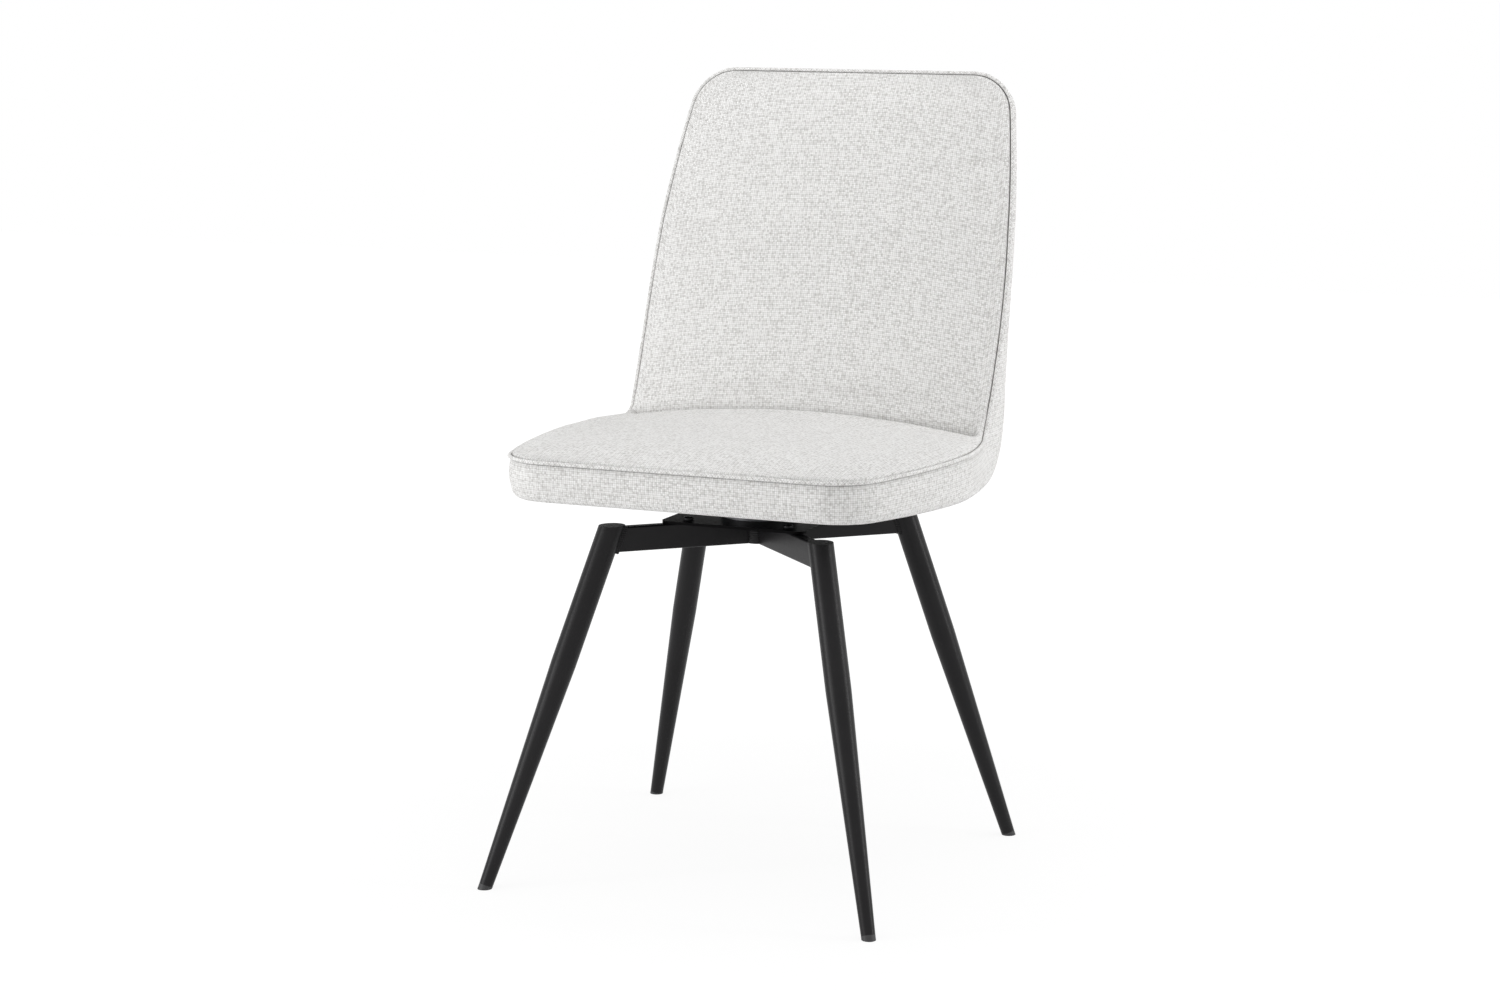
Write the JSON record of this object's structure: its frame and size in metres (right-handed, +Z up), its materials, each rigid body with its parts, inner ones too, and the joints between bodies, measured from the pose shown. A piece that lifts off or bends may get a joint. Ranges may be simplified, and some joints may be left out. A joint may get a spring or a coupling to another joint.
{
  "type": "swivel dining chair",
  "caption": "Armless dining chair: an upholstered seat and back in one piped shell on a ball-bearing swivel, carried by a welded cross with splayed, tapered round legs.",
  "frame": {"origin": "On the floor, under the middle of the chair's overall width and depth.", "axes": "+Z is up. The sitter faces -Y. +X is the side on the right in a view from the front."},
  "size_m": [0.4962, 0.5462, 0.885],
  "materials": {
    "black_powder_coat": "fine matt powder coat",
    "zinc_plated_steel": "bright zinc plating",
    "black_oxide_steel": "black oxide",
    "bearing_steel": "ground and greased",
    "cage_nylon": "moulded, black, greased",
    "bush_acetal": "moulded, natural colour",
    "glide_plastic": "moulded, fine grain",
    "plywood": "raw, sanded",
    "woven_upholstery": "woven melange, very light warm grey",
    "dust_cloth": "black non-woven"
  },
  "bodies": {
    "base": {"front_left_leg": "black_powder_coat", "front_right_leg": "black_powder_coat", "rear_left_leg": "black_powder_coat", "rear_right_leg": "black_powder_coat", "leg_caps": "black_powder_coat", "foot_glides": "glide_plastic", "long_cross_arm": "black_powder_coat", "front_cross_arm": "black_powder_coat", "rear_cross_arm": "black_powder_coat", "lower_plate": "black_powder_coat", "plate_bolts": "black_oxide_steel", "lower_race": "bearing_steel", "bearing_balls": "bearing_steel", "ball_cage": "cage_nylon", "pivot_stud": "zinc_plated_steel", "pivot_washer": "zinc_plated_steel", "pivot_nut": "zinc_plated_steel"},
    "seat": {"upper_plate": "black_powder_coat", "upper_race": "bearing_steel", "pivot_bush": "bush_acetal", "seat_bolts": "black_oxide_steel", "seat_tee_nuts": "zinc_plated_steel", "seat_board": "plywood", "back_board": "plywood", "back_brackets": "black_powder_coat", "bracket_screws": "zinc_plated_steel", "seat_cushion": "woven_upholstery", "back_cushion": "woven_upholstery", "outer_cover": "woven_upholstery", "piping": "woven_upholstery", "dust_cover": "dust_cloth"}
  },
  "joints": [
    {"name": "seat_swivel", "type": "hinge", "parent": "base", "child": "seat", "pos_m": [0, -0.0309, 0.405], "axis": [0, 0, 1], "continuous": true}
  ]
}
